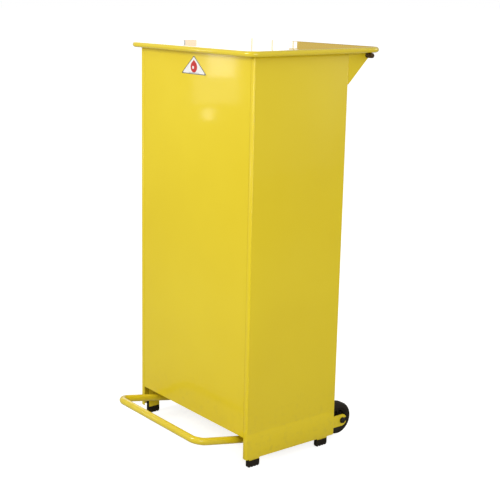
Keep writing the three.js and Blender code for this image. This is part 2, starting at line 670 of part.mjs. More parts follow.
function buildHub() {
  const rimHalf = WHEEL_WIDTH / 2 - RIM_STEP;
  const bore = AXLE_RADIUS + TURNING_CLEARANCE;
  return turned([
    [bore, -HUB_LENGTH / 2],
    [HUB_BOSS, -HUB_LENGTH / 2],
    [HUB_BOSS, -HUB_WEB_HALF],
    [HUB_RADIUS - RIM_STEP, -HUB_WEB_HALF],
    [HUB_RADIUS, -rimHalf],
    [HUB_RADIUS, rimHalf],
    [HUB_RADIUS - RIM_STEP, HUB_WEB_HALF],
    [HUB_BOSS, HUB_WEB_HALF],
    [HUB_BOSS, HUB_LENGTH / 2],
    [bore, HUB_LENGTH / 2],
    [bore, -HUB_LENGTH / 2],
  ], WHEEL_X, WHEEL_Y, WHEEL_Z, 24);
}

// Two plates with slots open to the rear for the axle, on a web that hangs from the base tray.
function buildFork() {
  const forkZ = [WHEEL_Z - FORK_HEIGHT / 2, WHEEL_Z + FORK_HEIGHT / 2];
  const forkX = [FORK_INNER_X - FORK_PLATE, FORK_OUTER_X];
  const arm = polygon([
    [FORK_WEB_Y, forkZ[1]],
    [FORK_WEB_Y, forkZ[0]],
    ...arcPoints([WHEEL_Y, WHEEL_Z], FORK_HEIGHT / 2, -Math.PI / 2, Math.PI / 2, 10),
  ]);
  const slotZ = [WHEEL_Z - AXLE_SLOT_HALF, WHEEL_Z + AXLE_SLOT_HALF];
  const slotX = [forkX[0] - 1, forkX[1] + 1];
  return cut(
    joined(
      spanning(arm, FORK_OUTER_X - FORK_PLATE, FORK_OUTER_X),
      spanning(arm, FORK_INNER_X - FORK_PLATE, FORK_INNER_X),
      block(forkX, [FORK_WEB_Y, FORK_WEB_Y + FORK_WEB_PLATE], [forkZ[0], HANG_Z]),
      block(forkX, [FORK_WEB_Y, FORK_WEB_Y + FORK_TOP_FLANGE], [HANG_Z - FORK_WEB_PLATE, HANG_Z]),
    ),
    shaft(AXLE_SLOT_HALF, slotX, WHEEL_Y, WHEEL_Z),
    block(slotX, [WHEEL_Y, WHEEL_Y + FORK_HEIGHT], slotZ),
  );
}

function buildWheels() {
  const headX = FORK_INNER_X - FORK_PLATE - GAP - AXLE_HEAD.length;
  const axle = joined(
    shaft(AXLE_RADIUS, [headX + 2, FORK_OUTER_X + AXLE_OVERHANG], WHEEL_Y, WHEEL_Z),
    shaft(AXLE_HEAD.radius, [headX, headX + AXLE_HEAD.length], WHEEL_Y, WHEEL_Z, 6),
  );
  const capBore = AXLE_RADIUS + GAP;
  const domeCentre = [AXLE_CAP.radius - AXLE_CAP.dome, AXLE_CAP.wall];
  const cap = turned([
    [0, AXLE_CAP.bore],
    [capBore, AXLE_CAP.bore],
    [capBore, 0],
    [AXLE_CAP.radius, 0],
    ...arcPoints(domeCentre, AXLE_CAP.dome, 0, Math.PI / 2, 3),
    [0, AXLE_CAP.wall + AXLE_CAP.dome],
  ], FORK_OUTER_X + GAP, WHEEL_Y, WHEEL_Z, 20);
  for (const side of SIDES) {
    addPart(rubber(sideName('wheel_tyre', side)), onSide(side, buildTyre()));
    addPart(plastic(sideName('wheel_hub', side)), onSide(side, buildHub()));
    addPart(paint(sideName('wheel_fork', side)), onSide(side, buildFork()));
    addPart(steel(sideName('wheel_axle', side)), onSide(side, axle));
    addPart(plastic(sideName('axle_cap', side)), onSide(side, cap));
  }
}

// ---- sign plate on the front panel ----
function buildLabel() {
  const triangle = polygon([
    [-LABEL_HALF_BASE, LABEL_BASE_Z],
    [LABEL_HALF_BASE, LABEL_BASE_Z],
    [0, LABEL_APEX_Z],
  ]);
  const back = -HALF_DEPTH - GAP;
  addPart(printed('label_plate'), running(triangle, back - LABEL_THICKNESS, back));
}

buildBody();
buildHinge();
buildLid();
buildLiftRod();
buildPedal();
buildFeet();
buildWheels();
buildLabel();

export default can;
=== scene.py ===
"""Looks of the oily waste can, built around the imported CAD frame. Metres, +Z up, front towards -Y."""

import json
import math

import bmesh
import bpy
from mathutils import Matrix, Vector


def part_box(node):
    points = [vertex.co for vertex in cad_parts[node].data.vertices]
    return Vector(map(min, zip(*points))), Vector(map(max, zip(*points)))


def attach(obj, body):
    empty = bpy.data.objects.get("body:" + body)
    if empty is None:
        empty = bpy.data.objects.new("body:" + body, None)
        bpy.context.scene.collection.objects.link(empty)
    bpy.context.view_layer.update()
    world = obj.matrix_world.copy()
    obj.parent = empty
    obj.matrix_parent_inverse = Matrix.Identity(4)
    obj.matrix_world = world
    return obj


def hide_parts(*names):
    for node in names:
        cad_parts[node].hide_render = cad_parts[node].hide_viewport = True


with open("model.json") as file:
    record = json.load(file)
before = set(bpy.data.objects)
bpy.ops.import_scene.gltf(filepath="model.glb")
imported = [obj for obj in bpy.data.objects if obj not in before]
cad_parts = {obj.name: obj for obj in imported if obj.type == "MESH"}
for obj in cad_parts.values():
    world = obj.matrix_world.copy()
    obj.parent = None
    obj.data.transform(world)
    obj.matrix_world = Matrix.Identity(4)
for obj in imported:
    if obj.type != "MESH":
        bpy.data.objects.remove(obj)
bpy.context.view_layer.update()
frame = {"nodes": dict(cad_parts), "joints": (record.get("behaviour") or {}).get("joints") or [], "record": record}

MM = 0.001
SIDES = {"left": -1, "right": 1}
SHEET = 1.5 * MM
EDGE = 0.35 * MM  # rounding of sheet edges
FINE_EDGE = 0.12 * MM  # rounding of the front and back panels
BEVEL_ANGLE = math.radians(40)  # edges sharper than this are rounded
SMOOTH_ANGLE = math.radians(38)  # faces meeting at less than this shade as one surface
ROUND_SIDES = 40  # sides of a small turned part
CREASE_HALF, CREASE_DEPTH = 2.0 * MM, 0.6 * MM  # line across each side at the base tray
joints = {joint["name"]: joint for joint in frame["joints"]}

# ---- camera ----
CAMERA_PLACE = Vector((1.8956, -1.5014, 1.0021))
CAMERA_AZIMUTH = 53.965  # degrees, 0 looks along +Y and 90 along -X
CAMERA_ELEVATION = 13.435
CAMERA_ROLL = 0.512
CAMERA_LENS = 80.04
CAMERA_SHIFT = 0.12  # the optical axis is left of the frame's middle

# ---- studio ----
BACKDROP = 1.0  # what the camera sees beyond the floor
SURROUND = 0.575
FLOOR_TONE = 0.52
FLOOR_GLOW = 0.78  # seen by the camera only
LIGHTS = [
    ("key", (-0.25, -1.45, 1.25), (0, -0.1, 0.75), (0.8, 0.6), 12.2),
    ("fill", (1.7, -0.8, 0.98), (0.2, 0.0, 0.7), (0.8, 0.8), 11.0),
    ("back", (1.3, 2.6, 1.5), (0.1, 0.1, 0.5), (1.2, 1.2), 14.0),
    ("glint", (-1.904, -1.650, 0.695), (0.1, -0.12, 0.82), (0.115, 0.15), 0.36),
    ("haze", (-1.947, -1.660, 0.635), (0.08, -0.12, 0.80), (0.2, 0.27), 0.36),
    ("spark", (-2.005, -1.66, 0.450), (0.04, -0.12, 0.75), (0.045, 0.05), 0.05),
]  # name, place, target, size and power in watts; the last three make the highlights by the sign
CARD_DISTANCE = 7.0
CARD_LOW, CARD_TURN, CARD_DARK, CARD_HIGH, CARD_TOP = 0.85, 1.134, 1.24, 1.9, 3.4
WINDOW = (1.35, 1.35, 1.3)
SKY = (2.5, 2.5, 2.4)
PINK = (1.1, 0.85, 0.62)
TAN = (0.64, 0.45, 0.12)
TAN_DARK = (0.26, 0.17, 0.03)
LINE = (0.95, 0.80, 0.50)
CARDS = [
    (-0.60, -0.05, CARD_LOW, CARD_HIGH, WINDOW),
    (-0.04, 0.03, CARD_LOW, CARD_HIGH, PINK),
    (0.03, 0.368, CARD_LOW, CARD_HIGH, WINDOW),
    (0.368, 0.376, CARD_LOW, CARD_HIGH, LINE),
    (0.376, 0.494, CARD_LOW, CARD_HIGH, WINDOW),
    (0.494, 0.502, CARD_LOW, CARD_HIGH, LINE),
    (0.502, 0.602, CARD_LOW, CARD_HIGH, WINDOW),
    (0.602, 0.624, CARD_LOW, CARD_TURN, WINDOW),
    (0.624, 0.632, CARD_LOW, CARD_TURN, LINE),
    (0.602, 0.652, CARD_TURN, CARD_HIGH, TAN),
    (0.632, 0.652, CARD_LOW, CARD_TURN, WINDOW),
    (0.652, 1.9, CARD_LOW, CARD_DARK, TAN),
    (0.652, 1.9, CARD_DARK, CARD_HIGH, TAN_DARK),
    (-2.2, 0.652, CARD_HIGH, CARD_TOP, SKY),
]  # left, right, low and high edge and colour, from the camera's line of sight

# ---- finishes ----
YELLOW = (0.80, 0.618, 0.018)
YELLOW_DEEP = (0.77, 0.582, 0.014)
GRIME = (0.30, 0.22, 0.07)
DIRT_TOP, DIRT_FULL = 0.17, 0.02  # heights in metres where the dirt starts and is full
DIRT_SHARE = 0.22
SIGN_WHITE = (0.86, 0.85, 0.82)
SIGN_RED = (0.55, 0.02, 0.015)
SIGN_INK = (0.05, 0.05, 0.06)
SIGN_GREY = (0.35, 0.40, 0.46)
RUBBER = (0.013, 0.009, 0.004)
CAP_BROWN = (0.065, 0.036, 0.013)
ZINC = (0.55, 0.56, 0.57)
ZINC_DULL = (0.42, 0.42, 0.42)


# ---- node materials ----
class Tree:
    """A material's node tree, with short calls to add nodes and join them."""

    def __init__(self, name):
        self.material = bpy.data.materials.new(name)
        self.material.use_nodes = True
        self.nodes = self.material.node_tree.nodes
        self.links = self.material.node_tree.links
        self.nodes.clear()
        self.place = self.node("ShaderNodeTexCoord").outputs["Object"]

    def node(self, kind, inputs=None, **settings):
        made = self.nodes.new(kind)
        for key, value in settings.items():
            setattr(made, key, value)
        for key, value in (inputs or {}).items():
            if isinstance(value, bpy.types.NodeSocket):
                self.links.new(value, made.inputs[key])
            else:
                made.inputs[key].default_value = value
        return made

    def noise(self, scale, detail=3.0, roughness=0.5, stretch=(1, 1, 1)):
        place = self.node("ShaderNodeMapping", {"Vector": self.place, "Scale": stretch}).outputs["Vector"]
        inputs = {"Vector": place, "Scale": scale, "Detail": detail, "Roughness": roughness}
        return self.node("ShaderNodeTexNoise", inputs).outputs["Fac"]

    def span(self, value, from_low, from_high, to_low=0.0, to_high=1.0):
        inputs = {
            "Value": value,
            "From Min": from_low,
            "From Max": from_high,
            "To Min": to_low,
            "To Max": to_high,
        }
        return self.node("ShaderNodeMapRange", inputs).outputs["Result"]

    def spread(self, value, to_low=0.0, to_high=1.0):
        """A noise value, which lies mostly between 0.3 and 0.7, stretched over a range."""
        return self.span(value, 0.3, 0.7, to_low, to_high)

    def math(self, operation, first, second):
        return self.node("ShaderNodeMath", {0: first, 1: second}, operation=operation).outputs[0]

    def mix(self, share, first, second):
        made = self.node("ShaderNodeMix", data_type="RGBA")
        for socket, value in zip((made.inputs[0], made.inputs[6], made.inputs[7]), (share, first, second)):
            if isinstance(value, bpy.types.NodeSocket):
                self.links.new(value, socket)
            elif isinstance(value, tuple):
                socket.default_value = (*value, 1.0)
            else:
                socket.default_value = value
        return made.outputs[2]

    def bump(self, height, distance, strength=1.0, normal=None):
        inputs = {"Height": height, "Distance": distance, "Strength": strength}
        if normal is not None:
            inputs["Normal"] = normal
        return self.node("ShaderNodeBump", inputs).outputs["Normal"]

    def finish(self, **inputs):
        named = {key.replace("_", " "): value for key, value in inputs.items()}
        shader = self.node("ShaderNodeBsdfPrincipled", named)
        output = self.node("ShaderNodeOutputMaterial")
        self.links.new(shader.outputs["BSDF"], output.inputs["Surface"])
        return self.material


def height_of(tree):
    return tree.node("ShaderNodeSeparateXYZ", {"Vector": tree.place}).outputs["Z"]


def powder_coat(name, roughness, wave, peel, coat=0.3, coat_roughness=0.06):
    """Yellow powder coat: orange peel, gentle waves of the sheet, a little dirt low down."""
    tree = Tree(name)
    cloud = tree.spread(tree.noise(4.0, 2.0))
    colour = tree.mix(cloud, YELLOW, YELLOW_DEEP)
    low = tree.span(height_of(tree), DIRT_TOP, DIRT_FULL)
    specks = tree.span(tree.noise(70.0, 6.0, 0.65), 0.52, 0.74)
    dirt = tree.math("MULTIPLY", tree.math("MULTIPLY", low, specks), DIRT_SHARE)
    colour = tree.mix(dirt, colour, GRIME)
    sheen = tree.spread(tree.noise(22.0, 4.0), roughness - 0.03, roughness + 0.05)
    waves = tree.bump(tree.noise(7.0, 1.0), wave)
    normal = tree.bump(tree.noise(520.0, 2.0), peel, 0.7, waves)
    return tree.finish(
        Base_Color=colour,
        Roughness=sheen,
        Normal=normal,
        IOR=1.45,
        Specular_IOR_Level=0.3,
        Coat_Weight=coat,
        Coat_Roughness=coat_roughness,
    )


def moulded(name, colour, roughness, grain, depth):
    """Dark rubber or plastic with a fine moulded grain and a dusty bloom."""
    tree = Tree(name)
    bloom = tree.span(tree.noise(45.0, 5.0, 0.6), 0.35, 0.75, 0.0, 0.5)
    dusty = tuple(part * 1.6 + 0.004 for part in colour)
    tone = tree.mix(bloom, colour, dusty)
    rough = tree.spread(tree.noise(120.0, 4.0), roughness - 0.06, roughness + 0.08)
    normal = tree.bump(tree.noise(grain, 3.0), depth)
    return tree.finish(Base_Color=tone, Roughness=rough, Normal=normal, IOR=1.45, Specular_IOR_Level=0.25)


def zinc_plate(name):
    """Plated steel with fine streaks."""
    tree = Tree(name)
    streaks = tree.noise(260.0, 4.0, 0.6, (1.0, 9.0, 9.0))
    tone = tree.mix(tree.span(streaks, 0.35, 0.65), ZINC, ZINC_DULL)
    rough = tree.spread(streaks, 0.24, 0.42)
    normal = tree.bump(streaks, 0.00002)
    return tree.finish(Base_Color=tone, Roughness=rough, Normal=normal, Metallic=1.0)


def printed_sheet(name, colour):
    """Slightly uneven print on a thin plastic sheet."""
    tree = Tree(name)
    blotches = tree.spread(tree.noise(60.0, 3.0), 0.0, 0.35)
    tone = tree.mix(blotches, colour, tuple(part * 0.9 for part in colour))
    normal = tree.bump(tree.noise(600.0, 2.0), 0.00002)
    return tree.finish(Base_Color=tone, Roughness=0.38, Normal=normal, IOR=1.5)


FINISH = {
    "body_paint": powder_coat("yellow_powder_coat", roughness=0.33, wave=0.0004, peel=0.000012),
    "worn_paint": powder_coat(
        "yellow_powder_coat_worn", roughness=0.34, wave=0.0001, peel=0.000012, coat=0.8, coat_roughness=0.05
    ),
    "lid_paint": powder_coat(
        "yellow_gloss_coat", roughness=0.09, wave=0.00002, peel=0.000002, coat=1.0, coat_roughness=0.01
    ),
    "zinc_steel": zinc_plate("zinc_plate"),
    "black_plastic": moulded("black_plastic", RUBBER, roughness=0.42, grain=1200.0, depth=0.00002),
    "brown_plastic": moulded("brown_plastic", CAP_BROWN, roughness=0.42, grain=1200.0, depth=0.00002),
    "foot_rubber": moulded("black_rubber", RUBBER, roughness=0.70, grain=700.0, depth=0.00005),
    "tyre_rubber": moulded("tyre_rubber", RUBBER, roughness=0.62, grain=600.0, depth=0.00005),
    "sign_face": printed_sheet("sign_sheet", SIGN_WHITE),
    "sign_border": printed_sheet("sign_ink", SIGN_INK),
    "sign_red": printed_sheet("sign_red", SIGN_RED),
    "sign_grey": printed_sheet("sign_grey", SIGN_GREY),
}


def dress_frame():
    """Gives every CAD node its finish and slightly rounded edges."""
    slots = {row["node"]: row["material_slot"] for row in frame["record"]["subparts"]}
    for name, node in frame["nodes"].items():
        node.data.materials.clear()
        node.data.materials.append(FINISH[slots[name]])
        round_edges(node, FINE_EDGE if name in ("front_panel", "back_panel") else EDGE)


# ---- mesh building ----
def round_edges(piece, width):
    bevel = piece.modifiers.new("edge", "BEVEL")
    bevel.width = width
    bevel.segments = 2
    bevel.limit_method = "ANGLE"
    bevel.angle_limit = BEVEL_ANGLE


def add_piece(name, shape, body, slot, stands_for=(), finish=None, edge=0.0):
    """Makes one piece from (points, faces), parents it to its CAD body's empty, gives it the finish of its slot or
    the finish named, and hides the CAD nodes it stands for.
    """
    points, faces = shape
    mesh = bpy.data.meshes.new(name)
    mesh.from_pydata([tuple(point) for point in points], [], faces)
    mesh.shade_smooth()
    mesh.set_sharp_from_angle(angle=SMOOTH_ANGLE)
    mesh.materials.append(FINISH[finish or slot])
    piece = bpy.data.objects.new(name, mesh)
    bpy.context.scene.collection.objects.link(piece)
    if edge:
        round_edges(piece, edge)
    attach(piece, body)
    if stands_for:
        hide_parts(*stands_for)
    return piece


def closed_outward(points, faces):
    """The same closed shape with every face turned outwards."""
    work = bmesh.new()
    made = [work.verts.new(point) for point in points]
    for face in faces:
        work.faces.new([made[i] for i in face])
    bmesh.ops.recalc_face_normals(work, faces=work.faces)
    work.verts.index_update()
    turned_faces = [tuple(vert.index for vert in face.verts) for face in work.faces]
    work.free()
    return points, turned_faces


def skin(rings, looped=False):
    """Closed surface through rings of equally many points; looped joins the last ring to the first."""
    count, total = len(rings[0]), len(rings)
    points = [Vector(point) for ring in rings for point in ring]
    faces = []
    for i in range(total if looped else total - 1):
        here, ahead = i * count, (i + 1) % total * count
        for j in range(count):
            k = (j + 1) % count
            faces.append((here + j, here + k, ahead + k, ahead + j))
    if not looped:
        faces.append(tuple(range(count)))
        faces.append(tuple(range((total - 1) * count, total * count)))
    return closed_outward(points, faces)


def merged(*shapes):
    """Several closed shapes as one list of points and faces."""
    points, faces = [], []
    for more_points, more_faces in shapes:
        start = len(points)
        points.extend(more_points)
        faces.extend(tuple(start + i for i in face) for face in more_faces)
    return points, faces


def arc(centre, radius, start, end, steps):
    """Points of an arc in a plane, angles in degrees."""
    found = []
    for i in range(steps + 1):
        angle = math.radians(start + (end - start) * i / steps)
        found.append((centre[0] + radius * math.cos(angle), centre[1] + radius * math.sin(angle)))
    return found


def turned(profile, centre, sign=1, sides=ROUND_SIDES, looped=False):
    """A profile of (radius, distance outwards along X) points turned about the X line through centre."""
    rings = []
    for radius, along in profile:
        circle = arc((centre[1], centre[2]), radius, 0, 360, sides)[:-1]
        rings.append([(centre[0] + sign * along, y, z) for y, z in circle])
    return skin(rings, looped)


def tube(route, radius, bend, sides, bend_steps):
    """Round bar along a route of corner points, bent with the given radius at each inner one."""
    stations = [route[0]]
    for before, corner, after in zip(route, route[1:], route[2:]):
        back, on = (before - corner).normalized(), (after - corner).normalized()
        half = back.angle(on) / 2
        centre = corner + (back + on).normalized() * (bend / math.sin(half))
        start = corner + back * (bend / math.tan(half)) - centre
        turn_axis = back.cross(on).normalized()
        sweep = math.pi - 2 * half
        for step in range(bend_steps + 1):
            turn = Matrix.Rotation(-sweep * step / bend_steps, 3, turn_axis)
            stations.append(centre + turn @ start)
    stations.append(route[-1])
    rings = []
    across = (route[1] - route[0]).orthogonal().normalized()
    for i, place in enumerate(stations):
        ahead = stations[min(i + 1, len(stations) - 1)]
        behind = stations[max(i - 1, 0)]
        along = ((ahead - place).normalized() + (place - behind).normalized()).normalized()
        across = (across - along * across.dot(along)).normalized()
        up = along.cross(across)
        circle = arc((0, 0), radius, 0, 360, sides)[:-1]
        rings.append([place + across * u + up * v for u, v in circle])
    return skin(rings)


def rod_profile(radius, half, chamfer):
    """Profile for turned() of a rod with chamfered ends, from -half to half."""
    left = [(radius - chamfer, -half), (radius, chamfer - half)]
    return left + [(radius, half - chamfer), (radius - chamfer, half)]


def spanning(outline, x0, x1):
    """A closed outline of (y, z) points, spanning x0 to x1."""
    return skin([[(x, y, z) for y, z in outline] for x in (x0, x1)])


def facing(outline, y0, y1):
    """A closed outline of (x, z) points, running from y0 to y1."""
    return skin([[(x, y, z) for x, z in outline] for y in (y0, y1)])


# ---- body ----
def add_side_panels():
    """Each side with its two folded flanges; the rear flange stops above the wheel."""
    bend, steps = 3.0 * MM, 8
    notch_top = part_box("back_panel")[0].z
    for side, sign in SIDES.items():
        low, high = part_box(f"side_panel_{side}")
        outer = max(high.x, -low.x)
        inner = outer - (high.x - low.x)
        section = [(inner, low.y)]
        section += arc((outer - bend, low.y + bend), bend, -90, 0, steps)
        section += arc((outer - bend, high.y - bend), bend, 0, 90, steps)
        section.append((inner, high.y))
        levels = (low.z, notch_top, notch_top + CREASE_HALF, notch_top + 2 * CREASE_HALF, high.z)
        points = []
        for level, z in enumerate(levels):
            dip = CREASE_DEPTH if level == 2 else 0.0
            points += [(sign * (x - dip if x == outer else x), y, z) for x, y in section]
        count = len(section)
        faces = []
        for level in range(len(levels) - 1):
            for j in range(count - 1):
                if level == 0 and j == count - 2:
                    continue
                corners = [level * count + j, level * count + j + 1]
                corners += [corners[1] + count, corners[0] + count]
                faces.append(tuple(corners if sign > 0 else reversed(corners)))
        sheet = (points, faces)
        panel = add_piece(f"side_sheet_{side}", sheet, "can_body", "body_paint", [f"side_panel_{side}"])
        solid = panel.modifiers.new("sheet", "SOLIDIFY")
        solid.thickness = SHEET
        solid.offset = -1.0
        solid.use_even_offset = True
        round_edges(panel, EDGE)


def add_lid():
    """Flat lid with a half-round rolled edge; the field lies a little below the top of the roll."""
    low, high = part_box("lid_shell")
    corner, corner_steps = 26.0 * MM, 14
    roll = (high.z - low.z) / 2
    middle_z = low.z + roll
    drop = 0.3 * MM
    lip = 0.5 * MM
    outer_steps, inner_steps = 16, 12

    def ring(inset, z):
        radius = max(corner - inset, 1.5 * MM)
        x, y0, y1 = high.x - inset - radius, low.y + inset + radius, high.y - inset - radius
        return [
            (u, v, z)
            for centre, start in (((x, y1), 0), ((-x, y1), 90), ((-x, y0), 180), ((x, y0), 270))
            for u, v in arc(centre, radius, start, start + 90, corner_steps)
        ]

    field = [(roll + 16 * MM, -drop), (roll + 8 * MM, -drop), (roll + 6 * MM, -0.8 * drop)]
    field += [(roll + 4 * MM, -0.45 * drop), (roll + 2 * MM, -0.1 * drop)]
    rings = [ring(inset, high.z + rise) for inset, rise in field]
    for inset, rise in arc((roll, middle_z), roll, 90, 270, outer_steps):
        rings.append(ring(inset, rise))
    rings.append(ring(roll + lip, low.z))
    rings.append(ring(roll + lip, low.z + SHEET))
    for inset, rise in arc((roll, middle_z), roll - SHEET, 270, 90, inner_steps):
        rings.append(ring(inset, rise))
    rings += [ring(inset, high.z + rise - SHEET) for inset, rise in reversed(field)]
    add_piece("lid_sheet", skin(rings), "lid", "lid_paint", ["lid_shell"])


def add_hinge():
    """Rod with a grooved, domed cap on each end."""
    hinge = Vector(joints["lid_hinge"]["pos_m"])
    rod_low, rod_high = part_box("hinge_rod")
    radius = (rod_high.z - rod_low.z) / 2
    rod = turned(rod_profile(radius, rod_high.x, 0.6 * MM), (0, hinge.y, hinge.z))
    add_piece("hinge_pin", rod, "can_body", "zinc_steel", ["hinge_rod"])
    for side, sign in SIDES.items():
        low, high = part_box(f"hinge_cap_{side}")
        length, outer = high.x - low.x, (high.z - low.z) / 2
        start = low.x if sign > 0 else high.x
        bore, depth, groove, dome = radius + 0.3 * MM, 3.6 * MM, 0.35 * MM, 3.4 * MM
        profile = [(0.2 * MM, depth), (bore, depth), (bore, 0.0), (outer - groove, 0.0), (outer, groove)]
        for number in range(5):  # grooves every 2 mm
            at = (3.2 + 2.0 * number) * MM
            profile += [(outer, at - 0.5 * MM), (outer - groove, at - 0.25 * MM)]
            profile += [(outer - groove, at + 0.25 * MM), (outer, at + 0.5 * MM)]
        profile += arc((outer - dome, length - dome), dome, 0, 85, 8)
        shape = turned(profile, (start, hinge.y, hinge.z), sign)
        caps = [f"hinge_cap_{side}"]
        add_piece(f"hinge_end_{side}", shape, "can_body", "black_plastic", caps, "brown_plastic")


def add_gusset_welds():
    """A line of weld in the fold between each side sheet and its gusset."""
    bead, pitch = 1.5 * MM, 6.0 * MM
    for side, sign in SIDES.items():
        low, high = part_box(f"gusset_{side}")
        seat_x, seat_y = sign * (max(high.x, -low.x) - bead), low.y - 0.3 * MM
        bottom, top = low.z + 1.0 * MM, high.z - 1.0 * MM
        count = round((top - bottom) / pitch) * 4
        rings = []
        for i in range(count + 1):
            z = bottom + (top - bottom) * i / count
            radius = bead * (0.94 + 0.06 * math.cos(math.pi * i / 2))
            circle = arc((seat_x, seat_y), radius, 0, 360, 16)[:-1]
            rings.append([(x, y, z) for x, y in circle])
        add_piece(f"gusset_weld_{side}", skin(rings), "can_body", "body_paint")


def add_buffers():
    """Two tapered rubber stops under the lid."""
    for side in SIDES:
        low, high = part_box(f"lid_buffer_{side}")
        centre, height = (low + high) / 2, high.z - low.z
        # radius in millimetres, height in metres
        outline = [(6.0, height), (6.0, height - 1.2 * MM), (5.2, height - 1.6 * MM), (5.0, 1.6 * MM)]
        outline += [(4.5, 0.6 * MM), (3.4, 0.1 * MM), (2.0, 0.0)]
        rings = []
        for radius, z in outline:
            circle = arc((centre.x, centre.y), radius * MM, 0, 360, 32)[:-1]
            rings.append([(x, y, low.z + z) for x, y in circle])
        add_piece(f"buffer_{side}", skin(rings), "lid", "foot_rubber", [f"lid_buffer_{side}"])


# ---- linkage ----
def add_lift_rod():
    """Round bar with both ends bent to the same side, and a clip on each."""
    low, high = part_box("lift_rod")
    radius, bend = 3.5 * MM, 4.2 * MM
    centre_y = (low.y + high.y) / 2
    corners = [(high.x, low.z + radius), (low.x + radius, low.z + radius)]
    corners += [(low.x + radius, high.z - radius), (high.x, high.z - radius)]
    route = [Vector((x, centre_y, z)) for x, z in corners]
    bar = tube(route, radius, bend, sides=20, bend_steps=8)
    add_piece("lift_bar", bar, "lifting_rod", "zinc_steel", ["lift_rod"], edge=EDGE)
    for name in ("rod_clip_upper", "rod_clip_lower"):
        add_clip(name, "lifting_rod", radius)


def add_clip(name, body, shaft_radius):
    """Push-on clip: a dished ring with a raised rim."""
    low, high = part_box(name)
    centre, outer = (low + high) / 2, (high.z - low.z) / 2
    sign = 1 if centre.x > 0 else -1
    start, thick = (low.x, high.x - low.x) if sign > 0 else (high.x, high.x - low.x)
    inner, rim = shaft_radius + 0.2 * MM, 1.5 * MM
    profile = [(inner, 0.4 * thick), (outer - rim, 0.0), (outer, 0.0), (outer, thick)]
    profile += [(outer - rim, 0.6 * thick), (inner, thick)]
    ring = turned(profile, (start, centre.y, centre.z), sign, looped=True)
    add_piece(f"{name}_ring", ring, body, "zinc_steel", [name])


def add_pedal():
    """Bent pedal bar welded to a sleeve, and the pivot rod with its clips."""
    pivot = Vector(joints["pedal_pivot"]["pos_m"])
    low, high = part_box("pedal_bar")
    radius, bend = 8.0 * MM, 24.0 * MM
    sleeve_radius, sleeve_half = 9.0 * MM, high.x
    arm_x = sleeve_half - radius - 1.0 * MM
    front = Vector((0, low.y + radius, high.z - radius))
    corners = [(arm_x, pivot), (arm_x, front), (-arm_x, front), (-arm_x, pivot)]
    route = [Vector((x, point.y, point.z)) for x, point in corners]
    loop = tube(route, radius, bend, sides=32, bend_steps=16)
    add_piece("pedal_loop", loop, "pedal", "body_paint", ["pedal_bar"], "worn_paint")
    bore, soft = 5.4 * MM, 0.5 * MM
    sleeve = [(bore, -sleeve_half), (sleeve_radius - soft, -sleeve_half), (sleeve_radius, soft - sleeve_half)]
    sleeve += [(sleeve_radius, sleeve_half - soft), (sleeve_radius - soft, sleeve_half), (bore, sleeve_half)]
    shape = turned(sleeve, (0, pivot.y, pivot.z), looped=True)
    add_piece("pedal_sleeve", shape, "pedal", "body_paint", ["pedal_bar"])
    ahead = (front - pivot).normalized()
    for side, sign in SIDES.items():
        seat = pivot + ahead * (sleeve_radius + 0.3 * MM)
        seat.x = sign * arm_x
        add_piece(f"pedal_weld_{side}", weld_bead(seat, ahead, radius), "pedal", "body_paint")

    rod_low, rod_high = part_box("pivot_rod")
    rod_radius = (rod_high.z - rod_low.z) / 2
    rod = turned(rod_profile(rod_radius, rod_high.x, 0.8 * MM), (0, pivot.y, pivot.z))
    add_piece("pivot_pin", rod, "can_body", "zinc_steel", ["pivot_rod"])
    for side in SIDES:
        add_clip(f"pivot_clip_{side}", "can_body", rod_radius)


def weld_bead(centre, along, radius):
    """A lumpy ring of weld round a bar."""
    across = along.orthogonal().normalized()
    up = along.cross(across)
    sides, ripples, thick = 72, 18, 1.7 * MM
    rings = []
    for i in range(sides):
        angle = 2 * math.pi * i / sides
        out = across * math.cos(angle) + up * math.sin(angle)
        swell = thick * (1 + 0.18 * math.cos(ripples * angle))
        middle = centre + out * radius
        rings.append([middle + out * u + along * v for u, v in arc((0, 0), swell, 0, 360, 8)[:-1]])
    return skin(rings, looped=True)


# ---- feet and wheels ----
def add_feet():
    """Rubber blocks with rounded lower corners and grooves across the sole."""
    for side in SIDES:
        for end in ("front", "rear"):
            name = f"foot_{side}_{end}"
            low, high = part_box(name)
            corner, groove, depth, edge = 5.0 * MM, 1.0 * MM, 1.4 * MM, 0.8 * MM
            outline = [(low.y, high.z)]
            outline += arc((low.y + corner, low.z + corner), corner, 180, 270, 8)
            for step in (1, 2, 3):
                at = low.y + (high.y - low.y) * step / 4
                outline += [(at - groove, low.z), (at - groove, low.z + depth)]
                outline += [(at + groove, low.z + depth), (at + groove, low.z)]
            outline += arc((high.y - corner, low.z + corner), corner, 270, 360, 8)
            outline.append((high.y, high.z))
            shape = spanning(outline, low.x, high.x)
            add_piece(f"{name}_block", shape, "can_body", "foot_rubber", [name], edge=edge)


